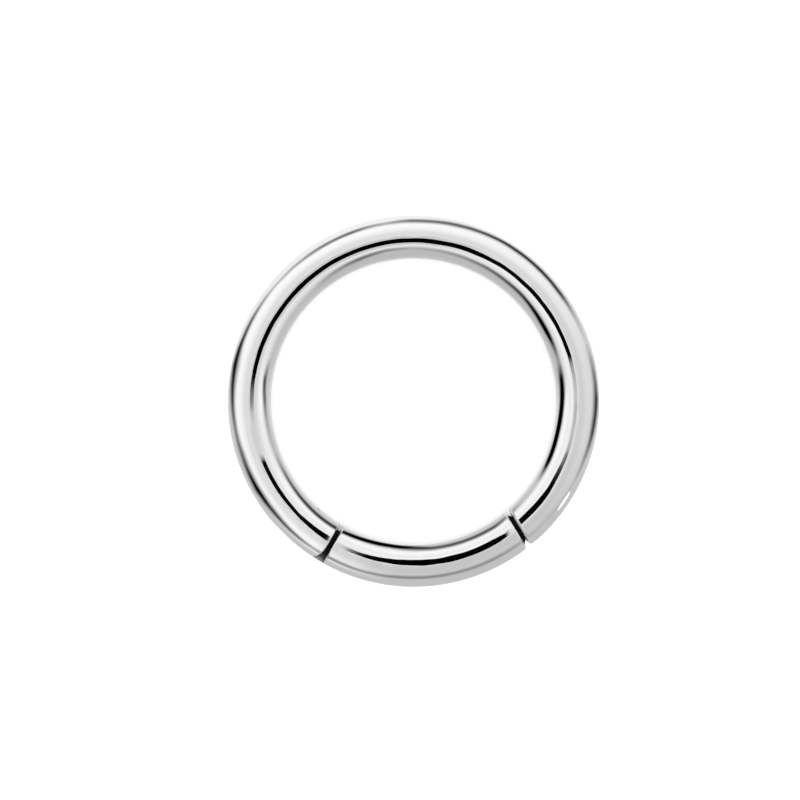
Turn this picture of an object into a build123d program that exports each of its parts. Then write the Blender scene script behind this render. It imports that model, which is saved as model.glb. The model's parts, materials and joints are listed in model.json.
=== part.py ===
from build123d import *
import os
from math import cos, radians, sin

# Hinged segment ring: a ring of round wire, one stretch of which swings outwards on a cross pin.
# It lies on its side. The origin is at the ring's centre on the surface that it lies on,
# +Z runs along the ring's axis, and the middle of the swinging segment is at -Y.
# Lengths are in millimetres and angles in degrees.

# Driving dimensions of the wire
wire_diameter = 1.2
inner_diameter = 8.0
segment_angle = 69.2  # from the middle of the hinge's gap to the middle of the clasp's gap

# Driving dimensions of the hinge, where the segment's tongue turns between the ring's two cheeks
hinge_gap = 0.13
opening_angle = 120.0  # how far the segment swings outwards
pin_diameter = 0.4
pin_setback = 0.7  # from the cheeks' end to the pin, and the radius of the cheeks' outer rounding
pin_outset = 0.1  # from the wire's middle line towards the ring's outer side
pin_seat_clearance = 0.015  # around the pin in the cheeks, which hold it
pin_bore_clearance = 0.03  # around the pin in the tongue, which turns on it
tongue_thickness = 0.32
tongue_side_clearance = 0.02
tongue_end_wall = 0.27  # metal around the pin's bore
tongue_end_clearance = 0.05  # from the tongue to the ends of the ring's slot, shut and open
tongue_inset = 0.01  # the tongue's edges lie this far below the wire's surface
cheek_rounding = 0.05
shoulder_rounding = 0.06

# Driving dimensions of the clasp, where the segment's round nose sits in the ring's pocket
clasp_gap = 0.11
clasp_tilt = 8.0  # the cut's outer end leans towards the segment
nose_reach = 0.22  # from the segment's end face to the nose's tip
nose_offset = 0.06  # the nose's centre, towards the ring's inner side
nose_clearance = 0.04
ring_end_rounding = 0.12
segment_end_rounding = 0.08

# Worked out from the driving dimensions
wire_radius = wire_diameter / 2
ring_radius = inner_diameter / 2 + wire_radius
hinge_angle = -90 - segment_angle / 2
clasp_angle = -90 + segment_angle / 2
spare_angle = 4.0  # each arc is made this much longer and then cut back to its end face
slot_width = tongue_thickness + 2 * tongue_side_clearance

# Places in a joint's own plane: the first number runs along the wire, anticlockwise round the ring,
# and the second towards the ring's outer side
pin_centre = (-hinge_gap / 2 - pin_setback, pin_outset)
tongue_end_radius = pin_diameter / 2 + pin_bore_clearance + tongue_end_wall
open_tongue_room = wire_radius - pin_outset + tongue_end_clearance
nose_radius = wire_radius
nose_centre = (nose_reach - clasp_gap / 2 - nose_radius, -nose_offset)


def joint_plane(angle):
    """The wire's middle plane at an angle round the ring, with x along the wire and y outwards."""
    outwards = Vector(cos(radians(angle)), sin(radians(angle)), 0)
    along = Vector(-outwards.Y, outwards.X, 0)
    return Plane(outwards * ring_radius + Vector(0, 0, wire_radius), x_dir=along, z_dir=(0, 0, -1))


def wire_section(angle, radius):
    """The wire's round section at an angle round the ring."""
    outwards = Vector(cos(radians(angle)), sin(radians(angle)), 0)
    across = Vector(outwards.Y, -outwards.X, 0)
    with BuildSketch(Plane((0, 0, 0), x_dir=outwards, z_dir=across)) as section:
        with Locations((ring_radius, wire_radius)):
            Circle(radius)
    return section.sketch


hinge_plane = joint_plane(hinge_angle)
clasp_plane = joint_plane(clasp_angle)

# The ring: the long arc, with a slot between two cheeks at the hinge and a pocket at the clasp
with BuildPart() as ring_arc:
    add(wire_section(clasp_angle - spare_angle, wire_radius))
    revolve(axis=Axis.Z, revolution_arc=360 - segment_angle + 2 * spare_angle)
    # The cheeks end square on the inner side and are rounded about the pin on the outer side
    with BuildSketch(hinge_plane):
        with Locations(pin_centre):
            Rectangle(2 * wire_diameter, wire_diameter, align=(Align.MIN, Align.MIN))
            Circle(pin_setback, mode=Mode.SUBTRACT)
        with Locations((-hinge_gap / 2, 0)):
            Rectangle(wire_diameter, 2 * wire_diameter, align=(Align.MIN, Align.CENTER))
    extrude(amount=wire_diameter, both=True, mode=Mode.SUBTRACT)
    with BuildSketch(clasp_plane):
        with Locations((clasp_gap / 2, 0)):
            Rectangle(wire_diameter, 2 * wire_diameter, clasp_tilt, align=(Align.MAX, Align.CENTER))
    extrude(amount=wire_diameter, both=True, mode=Mode.SUBTRACT)
    cheek_end = ring_arc.faces().sort_by_distance(hinge_plane.origin)[:2]
    fillet(cheek_end.edges().filter_by(GeomType.LINE, reverse=True), cheek_rounding)
    clasp_end = ring_arc.faces().sort_by_distance(clasp_plane.origin)[0]
    fillet(clasp_end.edges(), ring_end_rounding)
    # The slot leaves room for the tongue's round end and, on the outer side, for the open segment
    with BuildSketch(hinge_plane):
        with Locations(pin_centre):
            Circle(tongue_end_radius + tongue_end_clearance)
            Rectangle(
                2 * wire_diameter,
                2 * open_tongue_room,
                opening_angle,
                align=(Align.MIN, Align.CENTER),
            )
        with Locations((pin_centre[0] - tongue_end_clearance, 0)):
            Rectangle(2 * wire_diameter, 2 * wire_diameter, align=(Align.MIN, Align.CENTER))
    extrude(amount=slot_width / 2, both=True, mode=Mode.SUBTRACT)
    with BuildSketch(hinge_plane):
        with Locations(pin_centre):
            Circle(pin_diameter / 2 + pin_seat_clearance)
    extrude(amount=wire_diameter, both=True, mode=Mode.SUBTRACT)
    # The pocket follows the nose and is open on the outer side, where the nose swings out
    with BuildSketch(clasp_plane):
        with Locations(nose_centre):
            Circle(nose_radius + nose_clearance)
            Rectangle(nose_radius + nose_clearance, wire_diameter, align=(Align.MIN, Align.MIN))
    extrude(amount=slot_width / 2, both=True, mode=Mode.SUBTRACT)

# The hinge tongue: round about the pin, as deep as the wire where it meets the segment's shoulder
with BuildPart() as hinge_tongue:
    with BuildSketch(hinge_plane):
        with Locations(pin_centre):
            Circle(tongue_end_radius)
        with Locations((pin_centre[0], 0)):
            Rectangle(pin_setback + wire_diameter, 2 * wire_diameter, align=(Align.MIN, Align.CENTER))
        with Locations(pin_centre):
            Circle(pin_diameter / 2 + pin_bore_clearance, mode=Mode.SUBTRACT)
    extrude(amount=tongue_thickness / 2, both=True)
    add(wire_section(clasp_angle, wire_radius - tongue_inset))
    revolve(axis=Axis.Z, mode=Mode.INTERSECT)

# The clasp nose: a plain round-ended tab that reaches into the ring's pocket
with BuildPart() as clasp_nose:
    with BuildSketch(clasp_plane):
        with Locations(nose_centre):
            Circle(nose_radius)
    extrude(amount=tongue_thickness / 2, both=True)
    add(wire_section(hinge_angle, wire_radius - tongue_inset))
    revolve(axis=Axis.Z, mode=Mode.INTERSECT)

# The segment: the short arc with a tongue at the hinge and a nose at the clasp
with BuildPart() as segment_arc:
    add(wire_section(hinge_angle - spare_angle, wire_radius))
    revolve(axis=Axis.Z, revolution_arc=segment_angle + 2 * spare_angle)
    with BuildSketch(hinge_plane):
        with Locations((hinge_gap / 2, 0)):
            Rectangle(wire_diameter, 2 * wire_diameter, align=(Align.MAX, Align.CENTER))
    extrude(amount=wire_diameter, both=True, mode=Mode.SUBTRACT)
    with BuildSketch(clasp_plane):
        with Locations((-clasp_gap / 2, 0)):
            Rectangle(wire_diameter, 2 * wire_diameter, clasp_tilt, align=(Align.MIN, Align.CENTER))
    extrude(amount=wire_diameter, both=True, mode=Mode.SUBTRACT)
    shoulder = segment_arc.faces().sort_by_distance(hinge_plane.origin)[0]
    fillet(shoulder.edges(), shoulder_rounding)
    free_end = segment_arc.faces().sort_by_distance(clasp_plane.origin)[0]
    fillet(free_end.edges(), segment_end_rounding)
    add(hinge_tongue.part)
    add(clasp_nose.part)

# The hinge pin: through both cheeks and the tongue, flush with the wire at both ends
with BuildPart() as hinge_pin:
    with BuildSketch(hinge_plane):
        with Locations(pin_centre):
            Circle(pin_diameter / 2)
    extrude(amount=wire_diameter, both=True)
    add(wire_section(clasp_angle, wire_radius))
    revolve(axis=Axis.Z, mode=Mode.INTERSECT)

ring_arc.part.label = "ring_arc"
segment_arc.part.label = "segment_arc"
hinge_pin.part.label = "hinge_pin"

os.makedirs("parts", exist_ok=True)
export_step(ring_arc.part, "parts/ring_arc.step")
export_step(segment_arc.part, "parts/segment_arc.step")
export_step(hinge_pin.part, "parts/hinge_pin.step")
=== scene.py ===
"""Hinged segment ring: polished round wire closed by a short segment that swings on a cross pin.

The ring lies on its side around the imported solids, which give its size, its joint and its places.
Sizes are kept in metres, and each piece is made in millimetres and brought to metres at the end.
A joint's own axes are used for all the fitting at the hinge and at the clasp: the first runs along
the wire, anticlockwise round the ring, and the second towards the ring's outer side.
"""

import json
from math import asin, atan2, cos, hypot, pi, radians, sin, sqrt, tan

import bmesh
import bpy
from bpy.props import FloatProperty, FloatVectorProperty, IntProperty, PointerProperty
from mathutils import Matrix, Vector


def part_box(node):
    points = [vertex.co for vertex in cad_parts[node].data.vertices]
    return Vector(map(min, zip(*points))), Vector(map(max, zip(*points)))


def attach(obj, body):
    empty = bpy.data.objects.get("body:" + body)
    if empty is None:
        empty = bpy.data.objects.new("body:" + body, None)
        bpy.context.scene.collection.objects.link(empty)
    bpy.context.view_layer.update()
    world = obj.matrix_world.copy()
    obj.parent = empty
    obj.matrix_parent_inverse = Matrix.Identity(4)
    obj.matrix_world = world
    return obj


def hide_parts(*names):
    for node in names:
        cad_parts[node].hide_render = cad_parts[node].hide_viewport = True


bl_info = {
    "name": "Hinged segment ring",
    "version": (1, 0, 0),
    "blender": (4, 5, 0),
    "location": "3D View > Sidebar > Segment ring",
    "description": "Makes a polished ring of round wire whose short segment swings on a cross pin",
    "category": "Add Mesh",
}

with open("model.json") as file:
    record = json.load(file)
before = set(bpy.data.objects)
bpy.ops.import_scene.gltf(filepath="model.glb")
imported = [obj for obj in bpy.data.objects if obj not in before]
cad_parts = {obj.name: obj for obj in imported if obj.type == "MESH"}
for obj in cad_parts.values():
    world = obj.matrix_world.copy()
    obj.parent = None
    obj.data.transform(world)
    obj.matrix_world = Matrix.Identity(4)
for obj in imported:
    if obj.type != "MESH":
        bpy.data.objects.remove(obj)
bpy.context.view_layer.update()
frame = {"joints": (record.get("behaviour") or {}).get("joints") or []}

MILLIMETRES = 1000.0
PIN_PLACE = Vector(frame["joints"][0]["pos_m"]) * MILLIMETRES
RING_LOW, RING_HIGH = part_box("ring_arc")
OUTER_RADIUS = min(-RING_LOW.x, RING_HIGH.x, RING_HIGH.y)
FULL_TURN = 2 * pi

# The wire's four finishes, in the order of its material slots
POLISHED_SLOT, CUT_SLOT, RIM_SLOT, PLUG_SLOT = range(4)

# How the wire is made, in faces, millimetres and radians
ROUND_CORNERS = 6  # faces across a rounded rim
TOOL_SIDES = 96  # sides of the round plates and rods
RIM_STEP = 0.16  # length of the faces next to a rim
END_LENGTH = 2.2  # length of the wire that is shaped at each joint
CHEEK_FADE = 0.9  # how far along the wire an end's outline fades out
SHOULDER_FADE = 0.6
CLASP_FADE = 0.7
BORE_LENGTH = 1  # length of the rod that bores the tongue
LEVEL_REACH = 1e-4  # what is nearer to the wire's middle height counts as level with it
MERGE_REACH = 3e-4  # corners that are nearer to each other become one
SKIN_REACH = 1e-3  # what is nearer to the wire's round surface counts as its skin
SKIN_SLANT = radians(14)  # faces that lean away from the skin by more aren't part of it
SHARP_ANGLE = radians(32)  # edges that turn by more stay sharp
TRIM_TURN = 0.5  # how far round the ring the wire that trims a joint's parts goes each way


# Sizes and finishes that a user may change


class WireSizes(bpy.types.PropertyGroup):
    """The round wire and the two places where it is parted"""

    diameter: FloatProperty(
        name="Wire diameter",
        description="Thickness of the round wire",
        default=RING_HIGH.z - RING_LOW.z,
        min=0.0004,
        max=0.003,
        precision=5,
        subtype="DISTANCE",
        unit="LENGTH",
    )
    outer_diameter: FloatProperty(
        name="Outer diameter",
        description="Width across the closed ring",
        default=2 * OUTER_RADIUS,
        min=0.006,
        max=0.02,
        precision=5,
        subtype="DISTANCE",
        unit="LENGTH",
    )
    segment_angle: FloatProperty(
        name="Segment angle",
        description="From the middle of the hinge's gap to the middle of the clasp's gap",
        default=radians(69.2),
        subtype="ANGLE",
        unit="ROTATION",
    )
    sides: IntProperty(
        name="Sides of the wire",
        description="Faces round the wire",
        default=80,
        min=24,
        max=192,
    )
    steps: IntProperty(
        name="Steps round the ring",
        description="Faces along the whole closed ring",
        default=400,
        min=120,
        max=960,
    )


class HingeSizes(bpy.types.PropertyGroup):
    """The hinge, where the segment's tongue turns between the ring's two cheeks"""

    gap: FloatProperty(
        name="Gap",
        description="Between the cheeks' square ends and the segment's shoulder",
        default=0.00013,
        precision=5,
        subtype="DISTANCE",
        unit="LENGTH",
    )
    opening: FloatProperty(
        name="Opening angle",
        description="How far the slot lets the segment swing outwards",
        default=radians(120),
        subtype="ANGLE",
        unit="ROTATION",
    )
    pin_diameter: FloatProperty(
        name="Pin diameter",
        description="Thickness of the cross pin",
        default=0.0004,
        precision=5,
        subtype="DISTANCE",
        unit="LENGTH",
    )
    pin_seam: FloatProperty(
        name="Pin seam",
        description="Hairline left round the pin where it is pressed into the cheeks",
        default=0.0000015,
        precision=7,
        subtype="DISTANCE",
        unit="LENGTH",
    )
    bore_clearance: FloatProperty(
        name="Bore clearance",
        description="Room around the pin in the tongue, which turns on it",
        default=0.00003,
        precision=5,
        subtype="DISTANCE",
        unit="LENGTH",
    )
    tongue_thickness: FloatProperty(
        name="Tongue thickness",
        description="Thickness of the hinge tongue and of the clasp nose",
        default=0.00032,
        precision=5,
        subtype="DISTANCE",
        unit="LENGTH",
    )
    side_clearance: FloatProperty(
        name="Side clearance",
        description="Room on each side of the tongue and of the nose",
        default=0.00002,
        precision=5,
        subtype="DISTANCE",
        unit="LENGTH",
    )
    end_wall: FloatProperty(
        name="End wall",
        description="Metal around the pin's bore at the tongue's round end",
        default=0.00027,
        precision=5,
        subtype="DISTANCE",
        unit="LENGTH",
    )
    end_clearance: FloatProperty(
        name="End clearance",
        description="From the tongue to the ends of the ring's slot",
        default=0.00005,
        precision=5,
        subtype="DISTANCE",
        unit="LENGTH",
    )
    inset: FloatProperty(
        name="Tongue inset",
        description="How far the edges of the tongue and of the nose lie below the wire's surface",
        default=0.00001,
        precision=5,
        subtype="DISTANCE",
        unit="LENGTH",
    )
    cheek_rounding: FloatProperty(
        name="Cheek rounding",
        description="Radius of the cheeks' rims",
        default=0.00005,
        precision=5,
        subtype="DISTANCE",
        unit="LENGTH",
    )
    shoulder_rounding: FloatProperty(
        name="Shoulder rounding",
        description="Radius of the segment's rim at the hinge",
        default=0.00006,
        precision=5,
        subtype="DISTANCE",
        unit="LENGTH",
    )


class ClaspSizes(bpy.types.PropertyGroup):
    """The clasp, where the segment's round nose sits in the ring's pocket"""

    gap: FloatProperty(
        name="Gap",
        description="Between the ring's and the segment's end faces",
        default=0.00011,
        precision=5,
        subtype="DISTANCE",
        unit="LENGTH",
    )
    tilt: FloatProperty(
        name="Tilt",
        description="How far the outer end of the gap leans towards the segment",
        default=radians(8),
        subtype="ANGLE",
        unit="ROTATION",
    )
    nose_reach: FloatProperty(
        name="Nose reach",
        description="From the segment's end face to the nose's tip",
        default=0.00022,
        precision=5,
        subtype="DISTANCE",
        unit="LENGTH",
    )
    nose_offset: FloatProperty(
        name="Nose offset",
        description="How far the nose's centre lies towards the ring's inner side",
        default=0.00006,
        precision=5,
        subtype="DISTANCE",
        unit="LENGTH",
    )
    nose_clearance: FloatProperty(
        name="Nose clearance",
        description="Room around the nose in its pocket",
        default=0.00004,
        precision=5,
        subtype="DISTANCE",
        unit="LENGTH",
    )
    ring_rounding: FloatProperty(
        name="Ring end rounding",
        description="Radius of the ring's rim at the clasp",
        default=0.00012,
        precision=5,
        subtype="DISTANCE",
        unit="LENGTH",
    )
    segment_rounding: FloatProperty(
        name="Segment end rounding",
        description="Radius of the segment's rim at the clasp",
        default=0.00008,
        precision=5,
        subtype="DISTANCE",
        unit="LENGTH",
    )


class SteelLook(bpy.types.PropertyGroup):
    """The colours and the polish of the steel"""

    polished_colour: FloatVectorProperty(
        name="Polished steel",
        description="Colour of the polished wire",
        default=(0.97, 0.97, 0.97),
        min=0,
        max=1,
        subtype="COLOR",
    )
    polished_roughness: FloatProperty(
        name="Polish",
        description="Roughness of the polished wire",
        default=0.04,
        min=0,
        max=1,
        subtype="FACTOR",
    )
    rim_roughness: FloatProperty(
        name="Buffing",
        description="Roughness of the rounded rims at the joints",
        default=0.3,
        min=0,
        max=1,
        subtype="FACTOR",
    )
    cut_colour: FloatVectorProperty(
        name="Cut steel",
        description="Colour of the milled faces in the joints",
        default=(0.62, 0.62, 0.62),
        min=0,
        max=1,
        subtype="COLOR",
    )
    cut_roughness: FloatProperty(
        name="Milling",
        description="Roughness of the milled faces in the joints",
        default=0.42,
        min=0,
        max=1,
        subtype="FACTOR",
    )


class StudioLook(bpy.types.PropertyGroup):
    """The camera and the light around the ring"""

    camera_height: FloatProperty(
        name="Camera height",
        description="From the wire's middle to the camera",
        default=0.0454,
        subtype="DISTANCE",
        unit="LENGTH",
    )
    view_width: FloatProperty(
        name="View width",
        description="Width of what the camera sees at the wire's middle",
        default=0.02239,
        precision=5,
        subtype="DISTANCE",
        unit="LENGTH",
    )
    view_turn: FloatProperty(
        name="View turn",
        description="How far the camera is turned about its line of sight",
        default=radians(-4.53),
        subtype="ANGLE",
        unit="ROTATION",
    )
    view_aside: FloatVectorProperty(
        name="View aside",
        description="How far the camera stands from the ring's centre, across and up the picture",
        default=(-0.000381, 0.000032),
        size=2,
        precision=6,
        subtype="TRANSLATION",
        unit="LENGTH",
    )
    floor_colour: FloatVectorProperty(
        name="Floor",
        description="Colour of the floor",
        default=(0.93, 0.93, 0.93),
        min=0,
        max=1,
        subtype="COLOR",
    )
    floor_light: FloatProperty(
        name="Floor light",
        description="Strength of the soft light that falls on the floor",
        default=1.9,
        min=0,
    )


class RingSettings(bpy.types.PropertyGroup):
    """Everything that the ring is made from"""

    wire: PointerProperty(type=WireSizes)
    hinge: PointerProperty(type=HingeSizes)
    clasp: PointerProperty(type=ClaspSizes)
    steel: PointerProperty(type=SteelLook)
    studio: PointerProperty(type=StudioLook)


# The ring's layout in millimetres, worked out from the settings


class Layout:
    """The wire's and the joints' places in millimetres

    What is as long as `through` passes right through the wire.
    """

    def __init__(self, settings):
        wire, hinge, clasp = settings.wire, settings.hinge, settings.clasp
        self.radius = wire.diameter * MILLIMETRES / 2
        self.through = 4 * self.radius
        self.bend = wire.outer_diameter * MILLIMETRES / 2 - self.radius
        self.sides = wire.sides
        self.step = FULL_TURN / wire.steps
        self.hinge_angle = -pi / 2 - wire.segment_angle / 2
        self.clasp_angle = -pi / 2 + wire.segment_angle / 2
        self.hinge_axes = self.joint_axes(self.hinge_angle)
        self.clasp_axes = self.joint_axes(self.clasp_angle)
        self.pin = self.hinge_axes.inverted() @ PIN_PLACE
        self.pin_radius = hinge.pin_diameter * MILLIMETRES / 2
        self.pin_seam = hinge.pin_seam * MILLIMETRES
        self.hinge_gap = hinge.gap * MILLIMETRES
        self.opening = hinge.opening
        self.bore_radius = self.pin_radius + hinge.bore_clearance * MILLIMETRES
        self.tongue_radius = self.bore_radius + hinge.end_wall * MILLIMETRES
        self.tongue_thickness = hinge.tongue_thickness * MILLIMETRES
        self.slot_width = self.tongue_thickness + 2 * hinge.side_clearance * MILLIMETRES
        self.end_clearance = hinge.end_clearance * MILLIMETRES
        self.inset = hinge.inset * MILLIMETRES
        self.cheek_radius = -self.hinge_gap / 2 - self.pin.x
        self.cheek_rounding = hinge.cheek_rounding * MILLIMETRES
        self.shoulder_rounding = hinge.shoulder_rounding * MILLIMETRES
        self.clasp_gap = clasp.gap * MILLIMETRES
        self.lean = tan(clasp.tilt)
        self.nose_radius = self.radius
        self.nose = Vector((
            clasp.nose_reach * MILLIMETRES - self.clasp_gap / 2 - self.nose_radius,
            -clasp.nose_offset * MILLIMETRES,
            0,
        ))
        self.pocket_radius = self.nose_radius + clasp.nose_clearance * MILLIMETRES
        self.ring_rounding = clasp.ring_rounding * MILLIMETRES
        self.segment_rounding = clasp.segment_rounding * MILLIMETRES

    def joint_axes(self, angle):
        """The axes of a joint: along the wire, outwards, and down, from the wire's middle line."""
        outwards = Vector((cos(angle), sin(angle), 0))
        along = Vector((-outwards.y, outwards.x, 0))
        axes = Matrix((along, outwards, (0, 0, -1))).transposed().to_4x4()
        axes.translation = outwards * self.bend + Vector((0, 0, self.radius))
        return axes

    def cheek_end(self, out):
        """Where the cheeks end along the wire: square inside, round about the pin outside."""
        rise = max(out - self.pin.y, 0)
        return self.pin.x + sqrt(self.cheek_radius**2 - rise**2)

    def shoulder_end(self, out):
        """Where the segment ends along the wire at the hinge."""
        return self.hinge_gap / 2

    def ring_clasp_end(self, out):
        """Where the ring ends along the wire at the clasp."""
        return self.clasp_gap / 2 - out * self.lean

    def segment_clasp_end(self, out):
        """Where the segment ends along the wire at the clasp."""
        return -self.clasp_gap / 2 - out * self.lean


# Making wire


def drawn_wire(layout, start, end, radius, first=None, last=None):
    """Round wire bent to the ring's curve between two angles.

    An end is left open, or closed with a rim of the radius that is given.
    """
    bm = bmesh.new()
    stand = Matrix.Rotation(start, 4, "Z") @ Matrix.Translation((layout.bend, 0, layout.radius))
    stand @= Matrix.Rotation(pi / 2, 4, "X")
    bmesh.ops.create_circle(bm, segments=layout.sides, radius=radius, matrix=stand)
    first_rim = bm.edges[:]
    last_rim = first_rim
    rim_turn = RIM_STEP / layout.bend
    lengths = [rim_turn if rim is not None else 0 for rim in (first, last)]
    middle = end - start - sum(lengths)
    steps = max(round(middle / layout.step), 1)
    for turn, count in ((lengths[0], 1), (middle, steps), (lengths[1], 1)):
        if turn:
            last_rim = spun_rim(bm, last_rim, turn, count)
    for rim, rounding in ((first_rim, first), (last_rim, last)):
        if rounding is not None:
            close_end(bm, rim, rounding, layout)
    bmesh.ops.recalc_face_normals(bm, faces=bm.faces)
    return bm


def spun_rim(bm, rim, turn, count):
    """Carries a rim of the wire round the ring's axis and returns the rim at the end."""
    spun = bmesh.ops.spin(
        bm,
        geom=rim,
        cent=(0, 0, 0),
        axis=(0, 0, 1),
        angle=turn,
        steps=count,
        use_merge=False,
        use_normal_flip=False,
        use_duplicate=False,
    )
    return [item for item in spun["geom_last"] if isinstance(item, bmesh.types.BMEdge)]


def close_end(bm, rim, rounding, layout):
    """Closes an end of the wire, rounds its rim and parts its face into strips to be curved."""
    bmesh.ops.contextual_create(bm, geom=rim)
    if rounding:
        bmesh.ops.bevel(
            bm,
            geom=rim,
            offset=rounding,
            offset_type="OFFSET",
            segments=ROUND_CORNERS,
            profile=0.5,
            affect="EDGES",
            clamp_overlap=False,
            material=-1,
        )
    cap = max(bm.faces, key=lambda face: len(face.verts))
    cap.material_index = CUT_SLOT
    corners = sorted(cap.verts, key=lambda corner: hypot(corner.co.x, corner.co.y))
    upper = [corner for corner in corners if corner.co.z > layout.radius + LEVEL_REACH]
    lower = [corner for corner in corners if corner.co.z < layout.radius - LEVEL_REACH]
    for pair in zip(upper, lower):
        bmesh.ops.connect_verts(bm, verts=list(pair))


def trimming_wire(layout, angle, radius):
    """A closed length of wire at a joint, which trims the parts that cross it there."""
    return drawn_wire(layout, angle - TRIM_TURN, angle + TRIM_TURN, radius, 0, 0)


def wire_end(layout, angle, way, rounding, outline, fade):
    """A short length of wire at a joint, shaped at the joint and closed off at its other end.

    Its end is brought from a square cut to its own outline, which fades out along the wire. The
    way is 1 where the wire lies anticlockwise from the joint and -1 where it lies clockwise.
    """
    far = angle + way * END_LENGTH / layout.bend
    if way > 0:
        bm = drawn_wire(layout, angle, far, layout.radius, rounding)
    else:
        bm = drawn_wire(layout, far, angle, layout.radius, None, rounding)
    for corner in bm.verts:
        reach = hypot(corner.co.x, corner.co.y)
        turned = (atan2(corner.co.y, corner.co.x) - angle + pi) % FULL_TURN - pi
        distance = abs(turned) * layout.bend
        closeness = max(1 - distance / fade, 0)
        share = closeness * closeness * (3 - 2 * closeness)
        turn = share * asin(outline(reach - layout.bend) / reach)
        corner.co = Matrix.Rotation(turn, 3, "Z") @ corner.co
    open_rim = [edge for edge in bm.edges if edge.is_boundary]
    plug = bmesh.ops.contextual_create(bm, geom=open_rim)["faces"][0]
    plug.material_index = PLUG_SLOT
    bmesh.ops.recalc_face_normals(bm, faces=bm.faces)
    return bm


def block(axes, place, size, turn=0):
    """A square-edged block, placed by its middle in a joint's axes."""
    bm = bmesh.new()
    at = axes @ Matrix.Translation(place) @ Matrix.Rotation(turn, 4, "Z")
    bmesh.ops.create_cube(bm, size=1, matrix=at @ Matrix.Diagonal((*size, 1)))
    return bm


def round_plate(axes, place, radius, thickness):
    """A round plate or rod across the wire, placed by its middle in a joint's axes."""
    bm = bmesh.new()
    bmesh.ops.create_cone(
        bm,
        cap_ends=True,
        segments=TOOL_SIDES,
        radius1=radius,
        radius2=radius,
        depth=thickness,
        matrix=axes @ Matrix.Translation(place),
    )
    return bm


def new_part(name, bm, *materials):
    """Makes an object from a mesh in the making."""
    mesh = bpy.data.meshes.new(name)
    bm.to_mesh(mesh)
    bm.free()
    for material in materials:
        mesh.materials.append(material)
    part = bpy.data.objects.new(name, mesh)
    bpy.context.scene.collection.objects.link(part)
    return part


def combine(part, tool_mesh, how, material):
    """Cuts a part with a tool shape, joins the two or keeps what they share, and drops the tool."""
    tool = new_part("tool", tool_mesh, material)
    boolean = part.modifiers.new("fit", "BOOLEAN")
    boolean.operation = how
    boolean.solver = "EXACT"
    boolean.material_mode = "TRANSFER"
    boolean.object = tool
    graph = bpy.context.evaluated_depsgraph_get()
    fitted = bpy.data.meshes.new_from_object(part.evaluated_get(graph))
    part.modifiers.clear()
    blank = part.data
    part.data = fitted
    fitted.name = part.name
    bpy.data.meshes.remove(blank)
    tool_shape = tool.data
    bpy.data.objects.remove(tool)
    bpy.data.meshes.remove(tool_shape)


def take_up(bm, part):
    """Adds a part's mesh to a mesh in the making, and drops the part."""
    mesh = part.data
    bm.from_mesh(mesh)
    bpy.data.objects.remove(part)
    bpy.data.meshes.remove(mesh)


def join_wire(layout, start, end, ends):
    """Joins the shaped ends of a wire with the plain wire between them, and drops their plugs."""
    end_turn = END_LENGTH / layout.bend
    bm = drawn_wire(layout, start + end_turn, end - end_turn, layout.radius)
    for part in ends:
        take_up(bm, part)
    plugs = [face for face in bm.faces if face.material_index == PLUG_SLOT]
    bmesh.ops.delete(bm, geom=plugs, context="FACES_ONLY")
    return bm


def finish_part(name, bm, layout, body, slot, node_name, *materials):
    """Smooths a part, gives the wire's skin its true curve in the light, and brings it to metres."""
    bmesh.ops.remove_doubles(bm, verts=bm.verts, dist=MERGE_REACH)
    bmesh.ops.dissolve_degenerate(bm, edges=bm.edges, dist=MERGE_REACH)
    bmesh.ops.recalc_face_normals(bm, faces=bm.faces)
    for face in bm.faces:
        face.smooth = True
    part = new_part(name, bm, *materials)
    mesh = part.data
    mesh.set_sharp_from_angle(angle=SHARP_ANGLE)
    normals = [Vector(normal.vector) for normal in mesh.corner_normals]
    for face in mesh.polygons:
        on_skin = False
        for corner in face.loop_indices:
            place = mesh.vertices[mesh.loops[corner].vertex_index].co
            reach = hypot(place.x, place.y)
            across = Vector((reach - layout.bend, place.z - layout.radius))
            if abs(across.length - layout.radius) > layout.inset + SKIN_REACH:
                continue
            across.normalize()
            skin = Vector((across.x * place.x / reach, across.x * place.y / reach, across.y))
            if skin.dot(face.normal) > cos(SKIN_SLANT):
                normals[corner] = skin
                on_skin = True
        if face.material_index == POLISHED_SLOT and not on_skin and len(materials) > RIM_SLOT:
            face.material_index = RIM_SLOT
    mesh.normals_split_custom_set(normals)
    mesh.transform(Matrix.Scale(1 / MILLIMETRES, 4))
    mesh.update()
    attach(part, body)
    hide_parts(node_name)


# The ends of the ring and of the segment


def hinge_cheeks(layout, steels):
    """The ring's end at the hinge: two cheeks, the tongue's slot between them and the pin's hole."""
    blank = wire_end(
        layout, layout.hinge_angle, -1, layout.cheek_rounding, layout.cheek_end, CHEEK_FADE
    )
    end = new_part("cheeks", blank, *steels)
    axes, pin, width = layout.hinge_axes, layout.pin, layout.slot_width
    reach = layout.through
    slot_end = round_plate(axes, pin, layout.tongue_radius + layout.end_clearance, width)
    mouth_place = Vector((pin.x - layout.end_clearance + reach / 2, 0, 0))
    mouth = block(axes, mouth_place, (reach, reach, width))
    swung = Vector((cos(layout.opening), sin(layout.opening), 0)) * reach / 2
    room = 2 * (layout.radius - pin.y + layout.end_clearance)
    swing = block(axes, pin + swung, (reach, room, width), layout.opening)
    pin_hole = round_plate(axes, pin, layout.pin_radius + layout.pin_seam, reach)
    for tool in (slot_end, mouth, swing, pin_hole):
        combine(end, tool, "DIFFERENCE", steels[CUT_SLOT])
    return end


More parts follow.
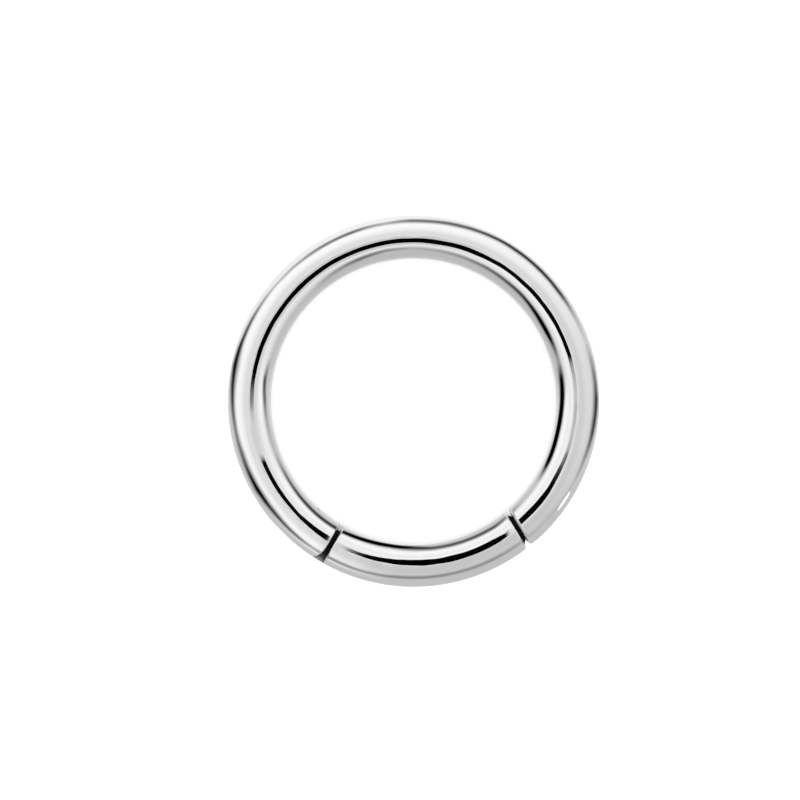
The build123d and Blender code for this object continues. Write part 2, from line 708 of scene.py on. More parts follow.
def clasp_pocket(layout, steels):
    """The ring's end at the clasp, with the pocket that the nose swings into."""
    blank = wire_end(
        layout, layout.clasp_angle, 1, layout.ring_rounding, layout.ring_clasp_end, CLASP_FADE
    )
    end = new_part("pocket end", blank, *steels)
    axes, nose, width = layout.clasp_axes, layout.nose, layout.slot_width
    radius, reach = layout.pocket_radius, layout.through
    pocket = round_plate(axes, nose, radius, width)
    mouth = block(axes, nose + Vector((radius / 2, reach / 2, 0)), (radius, reach, width))
    for tool in (pocket, mouth):
        combine(end, tool, "DIFFERENCE", steels[CUT_SLOT])
    return end


def hinge_shoulder(layout, steels):
    """The segment's end at the hinge, with its tongue."""
    blank = wire_end(
        layout, layout.hinge_angle, 1, layout.shoulder_rounding, layout.shoulder_end, SHOULDER_FADE
    )
    end = new_part("shoulder", blank, *steels)
    weld(end, hinge_tongue(layout, steels), steels[CUT_SLOT])
    return end


def clasp_tip(layout, steels):
    """The segment's free end at the clasp, with its nose."""
    blank = wire_end(
        layout,
        layout.clasp_angle,
        -1,
        layout.segment_rounding,
        layout.segment_clasp_end,
        CLASP_FADE,
    )
    end = new_part("free end", blank, *steels)
    weld(end, clasp_nose(layout, steels), steels[CUT_SLOT])
    return end


def hinge_tongue(layout, steels):
    """The segment's flat tongue, which is round about the pin and bored for it."""
    cut = steels[CUT_SLOT]
    axes, pin, thickness = layout.hinge_axes, layout.pin, layout.tongue_thickness
    tongue = new_part("tongue", round_plate(axes, pin, layout.tongue_radius, thickness), cut)
    reach = layout.cheek_radius + 2 * layout.radius
    root_place = Vector((pin.x + reach / 2, 0, 0))
    root = block(axes, root_place, (reach, layout.through, thickness))
    combine(tongue, root, "UNION", cut)
    trim = trimming_wire(layout, layout.hinge_angle, layout.radius - layout.inset)
    combine(tongue, trim, "INTERSECT", steels[POLISHED_SLOT])
    combine(tongue, round_plate(axes, pin, layout.bore_radius, BORE_LENGTH), "DIFFERENCE", cut)
    return tongue


def clasp_nose(layout, steels):
    """The segment's round nose, as thick as the tongue."""
    plate = round_plate(
        layout.clasp_axes, layout.nose, layout.nose_radius, layout.tongue_thickness
    )
    nose = new_part("nose", plate, steels[CUT_SLOT])
    trim = trimming_wire(layout, layout.clasp_angle, layout.radius - layout.inset)
    combine(nose, trim, "INTERSECT", steels[POLISHED_SLOT])
    return nose


def weld(end, addition, material):
    """Joins a tongue or a nose to its end of the wire."""
    tool = bmesh.new()
    take_up(tool, addition)
    combine(end, tool, "UNION", material)


# Nodes for the finishes and the light


def node(tree, kind, **values):
    """Adds a node, sets its options and fills its sockets, by name, with values or links."""
    made = tree.nodes.new(kind)
    sockets = values.pop("sockets", {})
    for option, value in values.items():
        setattr(made, option, value)
    for socket, value in sockets.items():
        if isinstance(value, bpy.types.NodeSocket):
            tree.links.new(value, made.inputs[socket])
        else:
            made.inputs[socket].default_value = value
    return made


def sum_of(tree, how, first, second=0.0, third=0.0):
    """Adds a Math node and returns its result."""
    made = node(tree, "ShaderNodeMath", operation=how, sockets={0: first, 1: second, 2: third})
    return made.outputs[0]


def eased(tree, value, start, end):
    """Rises smoothly from 0 to 1 between two values."""
    rise = node(
        tree,
        "ShaderNodeMapRange",
        interpolation_type="SMOOTHSTEP",
        sockets={"Value": value, "From Min": start, "From Max": end},
    )
    return rise.outputs["Result"]


def blended(tree, share, first, second):
    """Goes from the first value to the second by a share."""
    mix = node(tree, "ShaderNodeMix", data_type="FLOAT", sockets={0: share, 2: first, 3: second})
    return mix.outputs[0]


def mixed_colour(tree, share, first, second):
    """Goes from the first colour to the second by a share."""
    mix = node(tree, "ShaderNodeMix", data_type="RGBA", sockets={0: share, 6: first, 7: second})
    return mix.outputs[2]


def spread(tree, value, low, high):
    """Stretches values about a half to lie between two others."""
    made = node(
        tree,
        "ShaderNodeMapRange",
        sockets={"Value": value, "From Min": 0.25, "From Max": 0.75, "To Min": low, "To Max": high},
    )
    return made.outputs["Result"]


def ramp(tree, value, stops):
    """Adds a ramp over values from 0 to 1 and returns its result."""
    made = node(tree, "ShaderNodeValToRGB", sockets={"Fac": value})
    marks = made.color_ramp.elements
    while len(marks) < len(stops):
        marks.new(0.5)
    for mark, (position, level) in zip(marks, stops):
        mark.position = position
        mark.color = (level, level, level, 1)
    return made.outputs["Color"]


def in_millimetres(tree):
    """The place on a piece in millimetres."""
    place = node(tree, "ShaderNodeTexCoord").outputs["Object"]
    scaled = node(tree, "ShaderNodeMapping", sockets={"Vector": place, "Scale": (MILLIMETRES,) * 3})
    return scaled.outputs["Vector"]


def from_axis(tree, place):
    """How far a place lies from the ring's axis."""
    flat = node(tree, "ShaderNodeMapping", sockets={"Vector": place, "Scale": (1, 1, 0)})
    reach = node(
        tree, "ShaderNodeVectorMath", operation="LENGTH", sockets={0: flat.outputs["Vector"]}
    )
    return reach.outputs["Value"]


def openness(tree, reach):
    """How open a place is to what lies within so many millimetres of it, from 0 to 1."""
    found = node(
        tree, "ShaderNodeAmbientOcclusion", samples=12, sockets={"Distance": reach / MILLIMETRES}
    )
    return found.outputs["AO"]


def cloudy(tree, place, scale, detail=1.0):
    """Soft clouds, so many to a millimetre."""
    clouds = node(
        tree, "ShaderNodeTexNoise", sockets={"Vector": place, "Scale": scale, "Detail": detail}
    )
    return clouds.outputs["Fac"]


def grain_along_wire(tree, place, fineness, length):
    """Fine lines that run along the wire: so many in a millimetre, and so many millimetres long."""
    split = node(tree, "ShaderNodeSeparateXYZ", sockets={"Vector": place})
    x, y, z = split.outputs
    across = node(
        tree,
        "ShaderNodeCombineXYZ",
        sockets={
            0: sum_of(tree, "MULTIPLY", from_axis(tree, place), fineness),
            1: sum_of(tree, "MULTIPLY", z, fineness),
            2: sum_of(tree, "DIVIDE", x, length),
        },
    )
    grain = node(
        tree,
        "ShaderNodeTexNoise",
        noise_dimensions="4D",
        sockets={
            "Vector": across.outputs[0],
            "W": sum_of(tree, "DIVIDE", y, length),
            "Scale": 1.0,
            "Detail": 3.0,
            "Roughness": 0.6,
        },
    )
    return grain.outputs["Fac"]


def relief(tree, height, depth, under=None):
    """Raises a surface by a height from 0 to 1 times a depth in millimetres."""
    sockets = {"Height": height, "Distance": depth / MILLIMETRES, "Strength": 1.0}
    if under is not None:
        sockets["Normal"] = under
    return node(tree, "ShaderNodeBump", sockets=sockets).outputs["Normal"]


# Finishes, with the depths of their relief and the reach of their shading in millimetres
WAVE_DEPTH = 0.012
LINE_DEPTH = 0.0007
MILLING_DEPTH = 0.01
RIM_SHADE = 0.16
CUT_SHADE = 0.4
# How far inside the wire's middle line the cut faces begin to lose their painted shade and turn to
# polished steel, and have turned all the way
SHADE_FREE_FROM = 0.4
SHADE_FREE_TO = 0.5
# The near black painted as shade on the joints' faces where they are closed in
PAINTED_SHADE_COLOUR = (0.006, 0.006, 0.006, 1)
SCUFF_ROUGHNESS = 0.05


def steel(name, colour, roughness):
    """Starts a steel finish and returns it with its shader and the place in millimetres."""
    material = bpy.data.materials.new(name)
    material.use_nodes = True
    tree = material.node_tree
    shader = tree.nodes["Principled BSDF"]
    shader.inputs["Metallic"].default_value = 1.0
    shader.inputs["Base Color"].default_value = (*colour, 1)
    shader.inputs["Roughness"].default_value = roughness
    return material, tree, shader, in_millimetres(tree)


def shared(name, make, *choices):
    """The finish of this name, which is made when the first piece asks for it."""
    return bpy.data.materials.get(name) or make(name, *choices)


def wire_finishes(look, layout):
    """The wire's finishes: its polished skin, its milled faces and its buffed rims.

    The last one only marks the plugs that close off a length of wire while it is fitted.
    """
    return (
        shared("polished steel", buffed_steel, look.polished_colour, look.polished_roughness),
        shared("cut steel", cut_steel, look, layout.bend),
        shared("buffed rim", rim_steel, look),
        shared("plug", bpy.data.materials.new),
    )


def buffed_steel(name, colour, rough):
    """Buffed steel with faint waves and fine polishing lines along the wire."""
    material, tree, shader, place = steel(name, colour, rough)
    grain = grain_along_wire(tree, place, fineness=14, length=1.6)
    clouds = cloudy(tree, place, scale=2.2, detail=3.0)
    smears = spread(tree, clouds, low=0.7 * rough, high=1.3 * rough)
    scratches = grain_along_wire(tree, place, fineness=9, length=0.7)
    scuffs = eased(tree, scratches, start=0.6, end=0.72)
    worn = sum_of(tree, "MULTIPLY_ADD", scuffs, SCUFF_ROUGHNESS, smears)
    tree.links.new(worn, shader.inputs["Roughness"])
    waves = relief(tree, cloudy(tree, place, scale=1.3), WAVE_DEPTH)
    lines = relief(tree, grain, LINE_DEPTH, waves)
    tree.links.new(lines, shader.inputs["Normal"])
    return material


def rim_steel(name, look):
    """The rims' steel: buffed less than the wire, with painted shade where it turns into a joint and
    is closed in.
    """
    material = buffed_steel(name, look.polished_colour, look.rim_roughness)
    tree = material.node_tree
    shader = tree.nodes["Principled BSDF"]
    # Painted shade: the rim turns near black and less metallic where ambient occlusion finds it
    # closed in
    unshaded = eased(tree, openness(tree, RIM_SHADE), start=0.45, end=0.8)
    colour = mixed_colour(tree, unshaded, PAINTED_SHADE_COLOUR, (*look.polished_colour, 1))
    tree.links.new(colour, shader.inputs["Base Color"])
    tree.links.new(unshaded, shader.inputs["Metallic"])
    return material


def cut_steel(name, look, bend):
    """Milled steel in the joints, with painted shade darkening its corners and narrow gaps, left off
    its inner edge, where it turns to polished steel.
    """
    material, tree, shader, place = steel(name, look.cut_colour, look.cut_roughness)
    shader.inputs["Specular IOR Level"].default_value = 0.1
    # Painted shade: ambient occlusion, broken up by patches, turns the cut faces near black and less
    # metallic in corners and narrow gaps
    patchy = spread(tree, cloudy(tree, place, scale=6.0, detail=3.0), low=-0.08, high=0.08)
    open_share = sum_of(tree, "ADD", openness(tree, CUT_SHADE), patchy)
    shade_free = eased(tree, from_axis(tree, place), bend - SHADE_FREE_FROM, bend - SHADE_FREE_TO)
    unshaded = eased(tree, open_share, start=0.45, end=1)
    grain = grain_along_wire(tree, place, fineness=22, length=0.8)
    grooves = [0.6 * channel for channel in look.cut_colour]
    depth = spread(tree, grain, low=0, high=1)
    scored = mixed_colour(tree, depth, (*grooves, 1), (*look.cut_colour, 1))
    milled = mixed_colour(tree, unshaded, PAINTED_SHADE_COLOUR, scored)
    colour = mixed_colour(tree, shade_free, milled, (*look.polished_colour, 1))
    tree.links.new(colour, shader.inputs["Base Color"])
    tree.links.new(sum_of(tree, "MAXIMUM", unshaded, shade_free), shader.inputs["Metallic"])
    rough = spread(tree, grain, low=0.8 * look.cut_roughness, high=1.2 * look.cut_roughness)
    tree.links.new(rough, shader.inputs["Roughness"])
    tree.links.new(relief(tree, grain, MILLING_DEPTH), shader.inputs["Normal"])
    return material


def ground_steel(name, look):
    """The pin's steel: polished with the wire, and lightly scored across by its last grinding."""
    rough = look.polished_roughness
    material, tree, shader, place = steel(name, look.polished_colour, rough)
    lines = node(
        tree,
        "ShaderNodeMapping",
        sockets={"Vector": place, "Rotation": (0, 0, radians(35)), "Scale": (30, 2, 8)},
    )
    scores = cloudy(tree, lines.outputs["Vector"], scale=1.0, detail=2.0)
    scored = spread(tree, scores, low=0.9 * rough, high=1.6 * rough)
    tree.links.new(scored, shader.inputs["Roughness"])
    tree.links.new(relief(tree, scores, LINE_DEPTH), shader.inputs["Normal"])
    return material


# The stage, with lengths in millimetres, angles in degrees and greys from 0 to 255. A bearing goes
# round the ring anticlockwise from the picture's right.
FLOOR_SIDES = 64
FLOOR_RADIUS = 500
FLOOR_DEPTH = 0.01  # how far the floor lies below the ring, so that the two never share a face
CARD_SIDES = 192

# The small lamp: an upright oval, and where it hangs
LAMP_SIDES = 48
LAMP_LIGHT = 1.2
LAMP_HALF_WIDTH = 0.4
LAMP_HALF_HEIGHT = 0.25
LAMP_DISTANCE = 6.5
LAMP_HEIGHT = 0.94
LAMP_BEARING = -33.5

# The black hoop: a cone that widens upwards by its slope
HOOP_RADIUS = 2.6
HOOP_FOOT = 3.19
HOOP_HEIGHT = 3.4
HOOP_SLOPE = 30
HOOP_SOFTNESS = 0.06  # half the width over which an edge of its black band fades
HOOP_SCALE = 10  # its heights are divided by this, so that they fit on a ramp
# Its black band by bearing: the lower edge and the upper edge
HOOP = (
    (-180, 3.95, 5.6),
    (-158, 3.78, 5.4),
    (-145, 3.73, 5.43),
    (-135, 3.86, 5.24),
    (-129, 3.65, 5.55),
    (-121, 3.5, 5.9),
    (-112, 4.09, 5.47),
    (-108, 4.09, 5.53),
    (-104, 3.89, 5.71),
    (-96, 3.6, 5.82),
    (-88, 3.37, 6.02),
    (-81, 3.55, 5.98),
    (-77, 3.54, 6.4),
    (-60, 3.66, 6.4),
    (-55, 4.07, 6.2),
    (-50, 3.3, 5.5),
    (-42, 3.33, 5.57),
    (-34, 3.57, 5.62),
    (-28, 3.61, 5.28),
    (-18, 3.86, 5.27),
    (16, 3.98, 5.51),
    (30, 3.78, 5.48),
    (60, 3.59, 5.17),
    (80, 3.36, 4.93),
    (90, 3.46, 5.06),
    (140, 3.53, 5.19),
    (160, 3.64, 5.42),
    (171, 3.88, 5.6),
    (180, 3.95, 5.6),
)
# How black the band is by bearing
HOOP_COVER = (
    (-180, 0.6),
    (-176, 0.15),
    (-172, 0),
    (-159.6, 0),
    (-157.6, 1),
    (-121, 1),
    (-119.6, 0),
    (-118, 0),
    (-115, 0.22),
    (-112.5, 0.79),
    (-110, 0.95),
    (-106, 1),
    (-54.1, 1),
    (-52.7, 0),
    (-50.4, 0),
    (-48.4, 1),
    (-29, 1),
    (-24, 0.92),
    (-20, 0.73),
    (-17.5, 0.45),
    (-12, 0.27),
    (-4, 0.36),
    (2, 0.22),
    (10, 0.4),
    (12.2, 0.5),
    (14, 0.75),
    (15.2, 1),
    (172, 1),
    (180, 0.6),
)

# The screen inside the ring, which fades out at its top
SCREEN_RADIUS = 3.5
SCREEN_FOOT = 0.01
SCREEN_HEIGHT = 2.1
SCREEN_FADE = 0.3
# Its grey by height, on its bright and on its dim side
SCREEN_BRIGHT = ((0, 225), (0.4, 207), (0.85, 205), (1.1, 240), (1.3, 253), (1.55, 246), (1.8, 236))
SCREEN_DIM = ((0, 205), (0.4, 190), (0.95, 188), (1.2, 202), (1.4, 214), (1.7, 230), (2, 233))
# How dim it is by bearing
SCREEN_DIMNESS = (
    (-180, 0),
    (-172, 0.3),
    (-160, 0.35),
    (-148, 0.05),
    (-15, 0),
    (0, 0.1),
    (12, 0.8),
    (25, 1),
    (125, 1),
    (140, 0.75),
    (165, 0.6),
    (175, 0.1),
    (180, 0),
)
# The dark line round it by bearing: the height, the darkness and the half width
SCREEN_LINE = (
    (-180, 0.93, 0.78, 0.36),
    (-173, 0.87, 0.35, 0.36),
    (-160, 0.78, 0.1, 0.36),
    (-150, 0.76, 0.72, 0.36),
    (-140, 0.84, 0.95, 0.38),
    (-130, 0.94, 0.98, 0.38),
    (-120, 0.92, 0.98, 0.42),
    (-110, 0.7, 1.6, 0.42),
    (-100, 0.56, 1.65, 0.47),
    (-91, 0.6, 1, 0.6),
    (-82, 0.83, 0.88, 0.38),
    (-57, 0.96, 0.9, 0.36),
    (-42, 0.75, 0.08, 0.36),
    (-33, 0.76, 0.12, 0.36),
    (-22, 0.72, 1.6, 0.44),
    (-10, 0.69, 1.7, 0.48),
    (0, 0.84, 1.5, 0.46),
    (9, 0.99, 1.05, 0.58),
    (16, 1.1, 0.4, 0.4),
    (28, 1.04, 1.35, 0.46),
    (33, 1.06, 1.2, 0.45),
    (42, 1.16, 1, 0.38),
    (60, 1.24, 0.76, 0.36),
    (80, 1.31, 0.4, 0.36),
    (90, 1.36, 0.35, 0.36),
    (100, 1.38, 0.6, 0.36),
    (110, 1.26, 0.8, 0.36),
    (120, 1.2, 0.5, 0.36),
    (132, 1, 0.08, 0.36),
    (163, 1.04, 0.05, 0.36),
    (172, 1.08, 0.95, 0.36),
    (180, 0.93, 0.78, 0.36),
)

# The tent's grey from overhead (0) down to the floor (180), on its bright and its dim side
BRIGHT_SIDE = (
    (0, 226),
    (20, 225),
    (34, 242),
    (46, 252),
    (62, 257),
    (84, 254),
    (110, 248),
    (180, 246),
)
DIM_SIDE = ((0, 205), (20, 198), (46, 203), (62, 196), (100, 195), (132, 194), (150, 205), (180, 222))
# How dim the tent is by bearing, above the wire and below it, and where the one becomes the other
BELOW_FROM = 80
BELOW_TO = 110
DIM_ABOVE = (
    (-180, 0.12),
    (-150, 0.06),
    (-126, 0.06),
    (-112, 0.45),
    (-96, 1),
    (-40, 1),
    (-15, 0.72),
    (15, 0.6),
    (45, 0.25),
    (75, 0.08),
    (110, 0),
    (180, 0.12),
)
DIM_BELOW = ((-180, 0.8), (-120, 1), (-40, 1), (20, 0.6), (60, 0.4), (90, 0), (150, 0.2), (180, 0.8))
# The tent's dark seam by bearing: the angle from overhead, the darkness and the half width
SEAM = (
    (-180, 98, 0.93, 32),
    (-171, 91, 0.72, 28),
    (-162, 84, 0.87, 35),
    (-150, 84.5, 1.08, 41),
    (-140, 76, 0.94, 31),
    (-130, 77, 0.85, 22),
    (-124, 75, 0.55, 19),
    (-118, 73, 0.76, 18),
    (-105, 71, 0.56, 18),
    (-90, 63, 0.56, 18),
    (-60, 68, 0.47, 19),
    (-45, 71, 0.1, 18),
    (-28, 84, 0.15, 18),
    (-20, 88, 0.5, 22),
    (-10, 99, 0.92, 33),
    (0, 110, 0.95, 43),
    (10, 108, 0.65, 36),
    (19, 104, 0.12, 28),
    (27, 104, 0.36, 28),
    (36, 104, 0.97, 31),
    (45, 108, 1, 33),
    (60, 110.5, 0.98, 33),
    (80, 96, 0.86, 29),
    (90, 91, 0.82, 27),
    (99, 85, 0.55, 22),
    (110, 86, 0.9, 22),
    (120, 85, 0.82, 21),
    (140, 89, 0.42, 18),
    (150, 95, 0.75, 23),
    (160, 102, 1, 31),
    (169, 107.5, 1.03, 54),
    (180, 98, 0.93, 32),
)


def place_camera(scene, studio, middle):
    """Looks straight down at the ring, as far off its centre as the picture has it."""
    lens = bpy.data.cameras.new("camera")
    lens.sensor_width = 36
    lens.lens = lens.sensor_width * studio.camera_height / studio.view_width
    lens.clip_start = 0.001
    lens.clip_end = 2
    camera = bpy.data.objects.new("camera", lens)
    turn = Matrix.Rotation(studio.view_turn, 4, "Z")
    aside = turn @ Vector((*studio.view_aside, 0))
    camera.location = aside + Vector((0, 0, middle + studio.camera_height))
    camera.rotation_euler = (0, 0, studio.view_turn)
    scene.collection.objects.link(camera)
    scene.camera = camera


def stage_part(name, bm, material):
    """Makes a part of the stage, which isn't part of the ring."""
    part = new_part(name, bm, material)
    return part


def lay_floor(studio):
    """Lays the plain pale floor, below which the steel still mirrors the tent."""
    material = bpy.data.materials.new("floor")
    material.use_nodes = True
    shader = material.node_tree.nodes["Principled BSDF"]
    shader.inputs["Base Color"].default_value = (*studio.floor_colour, 1)
    shader.inputs["Roughness"].default_value = 1
    shader.inputs["Specular IOR Level"].default_value = 0
    bm = bmesh.new()
    bmesh.ops.create_circle(
        bm,
        cap_ends=True,
        segments=FLOOR_SIDES,
        radius=FLOOR_RADIUS / MILLIMETRES,
        matrix=Matrix.Translation((0, 0, -FLOOR_DEPTH / MILLIMETRES)),
    )
    floor = stage_part("floor", bm, material)
    floor.visible_glossy = False


def hang_card(name, bm, material):
    """Hangs a card that shows only in what the steel mirrors."""
    card = stage_part(name, bm, material)
    card.visible_camera = False
    card.visible_diffuse = False
    card.visible_shadow = False


def round_wall(radius, foot, height, flare=0):
    """A round wall, given in millimetres, that faces outwards and widens upwards by its flare."""
    bm = bmesh.new()
    bmesh.ops.create_circle(
        bm, segments=CARD_SIDES, radius=radius, matrix=Matrix.Translation((0, 0, foot))
    )
    rim = bm.edges[:]
    raised = bmesh.ops.extrude_edge_only(bm, edges=rim)["geom"]
    corners = [item for item in raised if isinstance(item, bmesh.types.BMVert)]
    bmesh.ops.translate(bm, vec=(0, 0, height), verts=corners)
    wider = (radius + flare) / radius
    bmesh.ops.scale(bm, vec=(wider, wider, 1), verts=corners)
    bmesh.ops.recalc_face_normals(bm, faces=bm.faces)
    bm.faces.ensure_lookup_table()
    side = bm.faces[0]
    if side.normal.dot(side.calc_center_median()) < 0:
        bmesh.ops.reverse_faces(bm, faces=bm.faces)
    bmesh.ops.scale(bm, vec=(1 / MILLIMETRES,) * 3, verts=bm.verts)
    return bm


def hang_cards(view_turn):
    """Hangs the cards around the ring: a black hoop, a low screen inside it and a small lamp."""
    flare = HOOP_HEIGHT * tan(radians(HOOP_SLOPE))
    hoop = round_wall(HOOP_RADIUS, HOOP_FOOT, HOOP_HEIGHT, flare)
    hang_card("black hoop", hoop, hoop_material(view_turn))
    screen = round_wall(SCREEN_RADIUS, SCREEN_FOOT, SCREEN_HEIGHT)
    hang_card("inner screen", screen, screen_material(view_turn))
    hang_card("small lamp", lamp_oval(view_turn), card_material("small lamp", LAMP_LIGHT)[0])


def lamp_oval(view_turn):
    """The lamp's upright oval, which faces the ring."""
    bm = bmesh.new()
    bmesh.ops.create_circle(
        bm,
        cap_ends=True,
        segments=LAMP_SIDES,
        radius=1 / MILLIMETRES,
        matrix=Matrix.Rotation(view_turn + radians(LAMP_BEARING), 4, "Z")
        @ Matrix.Translation((LAMP_DISTANCE / MILLIMETRES, 0, LAMP_HEIGHT / MILLIMETRES))
        @ Matrix.Diagonal((1, LAMP_HALF_WIDTH, LAMP_HALF_HEIGHT, 1))
        @ Matrix.Rotation(pi / 2, 4, "Y"),
    )
    return bm


def card_material(name, strength=0.0):
    """Starts a glowing card's material, and returns it with its light and its output."""
    material = bpy.data.materials.new(name)
    material.use_nodes = True
    tree = material.node_tree
    tree.nodes.clear()
    light = node(tree, "ShaderNodeEmission", sockets={"Strength": strength})
    output = node(tree, "ShaderNodeOutputMaterial", sockets={"Surface": light.outputs[0]})
    return material, light, output


def show_front(tree, light, output, cover):
    """Lets a card be seen only from its front, and only as far as its cover goes."""
    back = node(tree, "ShaderNodeNewGeometry").outputs["Backfacing"]
    shown = sum_of(tree, "MULTIPLY", cover, sum_of(tree, "SUBTRACT", 1, back))
    clear = node(tree, "ShaderNodeBsdfTransparent")
    faces = {0: shown, 1: clear.outputs[0], 2: light.outputs[0]}
    mixed = node(tree, "ShaderNodeMixShader", sockets=faces)
    tree.links.new(mixed.outputs[0], output.inputs["Surface"])


def by_bearing(tree, share, table, column, scale=1):
    """Reads a column of a table by the bearing in its first column."""
    return ramp(tree, share, [(at_bearing(row[0]), row[column] / scale) for row in table])


def seamed(tree, share, place, table, scale, light):
    """Darkens a light along a soft seam, whose middle, darkness and half width go by bearing."""
    off = sum_of(tree, "SUBTRACT", place, by_bearing(tree, share, table, 1, scale))
    width = by_bearing(tree, share, table, 3, scale)
    away = sum_of(tree, "DIVIDE", sum_of(tree, "ABSOLUTE", off), width)
    depth = by_bearing(tree, share, table, 2)
    dark = sum_of(tree, "MULTIPLY", eased(tree, away, start=1, end=0), depth)
    kept = sum_of(tree, "MAXIMUM", sum_of(tree, "SUBTRACT", 1, dark), 0)
    return sum_of(tree, "MULTIPLY", light, kept)


def card_place(tree, view_turn):
    """The share of a full turn and the height in millimetres of a place on a card."""
    place = in_millimetres(tree)
    share = bearing_of(tree, place, view_turn)
    return share, node(tree, "ShaderNodeSeparateXYZ", sockets={"Vector": place}).outputs["Z"]


def hoop_material(view_turn):
    """Black paper between two heights that change round the hoop."""
    material, light, output = card_material("black hoop")
    tree = material.node_tree
    share, height = card_place(tree, view_turn)
    rise = sum_of(tree, "DIVIDE", height, HOOP_SCALE)
    above = sum_of(tree, "SUBTRACT", rise, by_bearing(tree, share, HOOP, 1, HOOP_SCALE))
    below = sum_of(tree, "SUBTRACT", by_bearing(tree, share, HOOP, 2, HOOP_SCALE), rise)
    cover = by_bearing(tree, share, HOOP_COVER, 1)
    soft = HOOP_SOFTNESS / HOOP_SCALE
    for side in (above, below):
        cover = sum_of(tree, "MULTIPLY", cover, eased(tree, side, -soft, soft))
    show_front(tree, light, output, cover)
    return material


def screen_material(view_turn):
    """A screen that is brighter above than below, with a dark line round it."""
    material, light, output = card_material("inner screen")
    tree = material.node_tree
    share, height = card_place(tree, view_turn)
    rise = sum_of(tree, "DIVIDE", height, SCREEN_HEIGHT)
    bright = ramp(tree, rise, [(z / SCREEN_HEIGHT, shade(level)) for z, level in SCREEN_BRIGHT])
    dim = ramp(tree, rise, [(z / SCREEN_HEIGHT, shade(level)) for z, level in SCREEN_DIM])
    level = blended(tree, by_bearing(tree, share, SCREEN_DIMNESS, 1), bright, dim)
    lit = seamed(tree, share, rise, SCREEN_LINE, SCREEN_HEIGHT, level)
    tree.links.new(lit, light.inputs["Strength"])
    cover = eased(tree, height, SCREEN_HEIGHT, SCREEN_HEIGHT - SCREEN_FADE)
    show_front(tree, light, output, cover)
    return material


def bearing_of(tree, place, view_turn):
    """The bearing of a place or direction round the ring, as a share of a full turn."""
    turned = node(
        tree, "ShaderNodeMapping", sockets={"Vector": place, "Rotation": (0, 0, -view_turn)}
    )
    split = node(tree, "ShaderNodeSeparateXYZ", sockets={"Vector": turned.outputs["Vector"]})
    bearing = sum_of(tree, "ARCTAN2", split.outputs["Y"], split.outputs["X"])
    return sum_of(tree, "MULTIPLY_ADD", bearing, 1 / FULL_TURN, 0.5)


def at_bearing(degrees_round):
    """A bearing from -180 to 180 degrees as a place on a ramp."""
    return (degrees_round + 180) / 360


def shade(display):
    """The light that shows as a grey from 0 to 255."""
    share = display / 255
    return ((share + 0.055) / 1.055) ** 2.4 if share > 0.04 else share / 12.92


def light_room(scene, studio):
    """Lights the ring with a soft tent: a bright side, a dim side and a dark seam around it."""
    world = bpy.data.worlds.new("tent")
    world.use_nodes = True
    scene.world = world
    tree = world.node_tree
    tree.nodes.clear()
    way = node(tree, "ShaderNodeTexCoord").outputs["Generated"]
    share = bearing_of(tree, way, studio.view_turn)
    up = node(tree, "ShaderNodeSeparateXYZ", sockets={"Vector": way}).outputs["Z"]
    tip = sum_of(tree, "DIVIDE", sum_of(tree, "ARCCOSINE", up), pi)
    bright = ramp(tree, tip, [(angle / 180, shade(level)) for angle, level in BRIGHT_SIDE])
    dim = ramp(tree, tip, [(angle / 180, shade(level)) for angle, level in DIM_SIDE])
    above = by_bearing(tree, share, DIM_ABOVE, 1)
    below = by_bearing(tree, share, DIM_BELOW, 1)
    low = eased(tree, tip, BELOW_FROM / 180, BELOW_TO / 180)
    tent = blended(tree, blended(tree, low, above, below), bright, dim)
    lit = seamed(tree, share, tip, SEAM, 180, tent)
    path = node(tree, "ShaderNodeLightPath")
    lit = blended(tree, path.outputs["Is Diffuse Ray"], lit, studio.floor_light)
    lit = blended(tree, path.outputs["Is Camera Ray"], lit, 1.0)
    sky = node(tree, "ShaderNodeBackground", sockets={"Color": (1, 1, 1, 1), "Strength": lit})
    node(tree, "ShaderNodeOutputWorld", sockets={"Surface": sky.outputs[0]})


# Operators


class SEGMENTRING_OT_ring(bpy.types.Operator):
    """Make the ring's long arc, with its slot, its cheeks and the nose's pocket"""

    bl_idname = "segment_ring.ring"
    bl_label = "Make ring arc"

    def execute(self, context):
        settings = context.scene.segment_ring
        layout = Layout(settings)
        steels = wire_finishes(settings.steel, layout)
        ends = (hinge_cheeks(layout, steels), clasp_pocket(layout, steels))
        bm = join_wire(layout, layout.clasp_angle, layout.hinge_angle + FULL_TURN, ends)
        steels = steels[:PLUG_SLOT]
        finish_part("ring_wire", bm, layout, "ring", "polished_steel", "ring_arc", *steels)
        return {"FINISHED"}


class SEGMENTRING_OT_segment(bpy.types.Operator):
    """Make the swinging segment, with its hinge tongue and its clasp nose"""

    bl_idname = "segment_ring.segment"
    bl_label = "Make segment arc"

    def execute(self, context):
        settings = context.scene.segment_ring
        layout = Layout(settings)
        steels = wire_finishes(settings.steel, layout)
        ends = (hinge_shoulder(layout, steels), clasp_tip(layout, steels))
        bm = join_wire(layout, layout.hinge_angle, layout.clasp_angle, ends)
        steels = steels[:PLUG_SLOT]
        finish_part(
            "segment_wire", bm, layout, "segment", "polished_steel", "segment_arc", *steels
        )
        return {"FINISHED"}


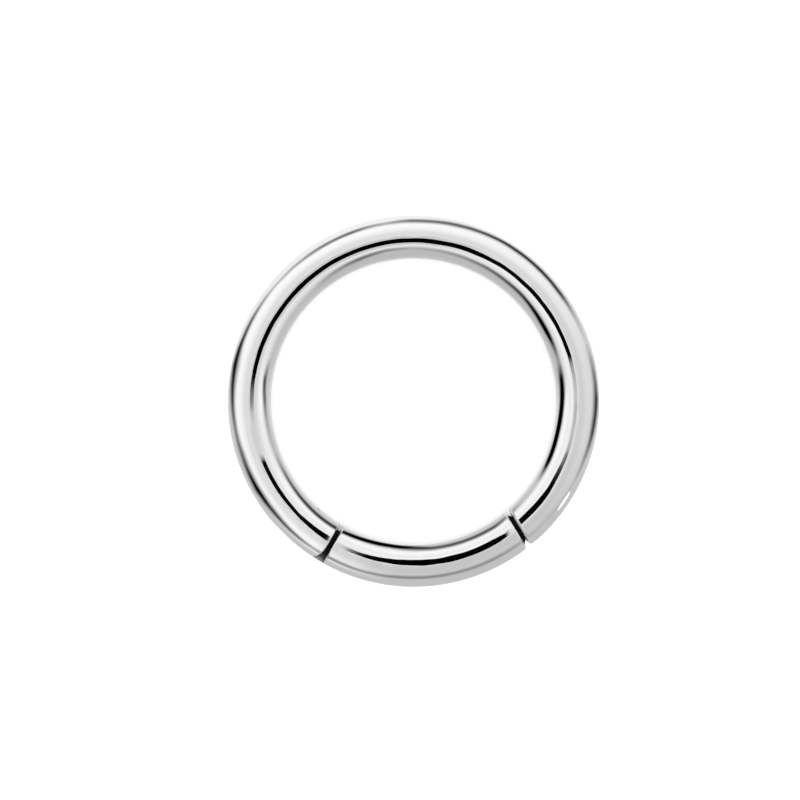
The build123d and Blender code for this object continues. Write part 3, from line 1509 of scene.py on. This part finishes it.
class SEGMENTRING_OT_pin(bpy.types.Operator):
    """Make the hinge pin, ground flush with the wire at both ends"""

    bl_idname = "segment_ring.pin"
    bl_label = "Make hinge pin"

    def execute(self, context):
        settings = context.scene.segment_ring
        layout = Layout(settings)
        ground = shared("ground steel", ground_steel, settings.steel)
        rod = round_plate(layout.hinge_axes, layout.pin, layout.pin_radius, layout.through)
        blank = new_part("pin blank", rod, ground)
        trim = trimming_wire(layout, layout.hinge_angle, layout.radius)
        combine(blank, trim, "INTERSECT", ground)
        bm = bmesh.new()
        take_up(bm, blank)
        for face in bm.faces:
            face.material_index = POLISHED_SLOT
        finish_part("cross_pin", bm, layout, "ring", "pin_steel", "hinge_pin", ground)
        return {"FINISHED"}


class SEGMENTRING_OT_stage(bpy.types.Operator):
    """Set up the floor, the light and the camera"""

    bl_idname = "segment_ring.stage"
    bl_label = "Set up the stage"

    def execute(self, context):
        settings = context.scene.segment_ring
        studio = settings.studio
        place_camera(context.scene, studio, settings.wire.diameter / 2)
        lay_floor(studio)
        hang_cards(studio.view_turn)
        light_room(context.scene, studio)
        context.scene.view_settings.view_transform = "Standard"
        return {"FINISHED"}


class SEGMENTRING_PT_sidebar(bpy.types.Panel):
    """Lists what makes the ring and its sizes"""

    bl_idname = "SEGMENTRING_PT_sidebar"
    bl_label = "Segment ring"
    bl_space_type = "VIEW_3D"
    bl_region_type = "UI"
    bl_category = "Segment ring"

    def draw(self, context):
        column = self.layout.column()
        for operator in OPERATORS:
            column.operator(operator.bl_idname)
        settings = context.scene.segment_ring
        for group in (
            settings.wire,
            settings.hinge,
            settings.clasp,
            settings.steel,
            settings.studio,
        ):
            box = self.layout.box()
            for name in group.__annotations__:
                box.prop(group, name)


GROUPS = (WireSizes, HingeSizes, ClaspSizes, SteelLook, StudioLook, RingSettings)
OPERATORS = (
    SEGMENTRING_OT_ring,
    SEGMENTRING_OT_segment,
    SEGMENTRING_OT_pin,
    SEGMENTRING_OT_stage,
)


def register():
    for group in (*GROUPS, *OPERATORS, SEGMENTRING_PT_sidebar):
        bpy.utils.register_class(group)
    bpy.types.Scene.segment_ring = PointerProperty(type=RingSettings)


def unregister():
    del bpy.types.Scene.segment_ring
    for group in reversed((*GROUPS, *OPERATORS, SEGMENTRING_PT_sidebar)):
        bpy.utils.unregister_class(group)


def main():
    """Makes the ring on its stage."""
    register()
    bpy.ops.segment_ring.ring()
    bpy.ops.segment_ring.segment()
    bpy.ops.segment_ring.pin()
    bpy.ops.segment_ring.stage()


if __name__ == "__main__":
    main()
